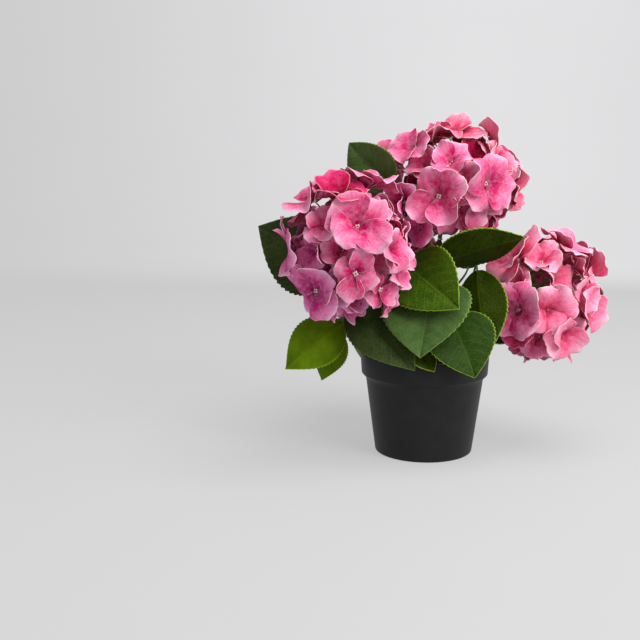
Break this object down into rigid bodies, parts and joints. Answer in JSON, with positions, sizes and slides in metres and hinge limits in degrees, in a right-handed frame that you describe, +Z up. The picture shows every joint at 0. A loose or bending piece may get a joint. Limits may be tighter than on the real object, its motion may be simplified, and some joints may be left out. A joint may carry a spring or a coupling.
{
  "type": "potted artificial hydrangea",
  "caption": "Artificial hydrangea shrub with round pink flower heads over broad toothed leaves, standing in a plain tapered dark pot.",
  "frame": {"origin": "centre of the pot's flat underside", "axes": "+Z up, -Y towards the front, +X to the right as seen from the front"},
  "size_m": [0.3157, 0.2566, 0.3052],
  "materials": {
    "pot": "matte",
    "potting_fill": "rough",
    "stem": "satin",
    "leaf": "satin",
    "petal": "matte"
  },
  "bodies": {
    "root": {"pot": "pot", "potting_fill": "potting_fill", "main_stem": "stem", "bough_left": "stem", "bloom_left": "petal", "bough_top": "stem", "bloom_top": "petal", "bough_right": "stem", "bloom_right": "petal", "bough_back": "stem", "bloom_back": "petal", "leaves_front": "leaf", "leaves_left": "leaf", "leaves_right": "leaf", "leaves_top": "leaf", "leaves_back": "leaf"}
  },
  "joints": []
}
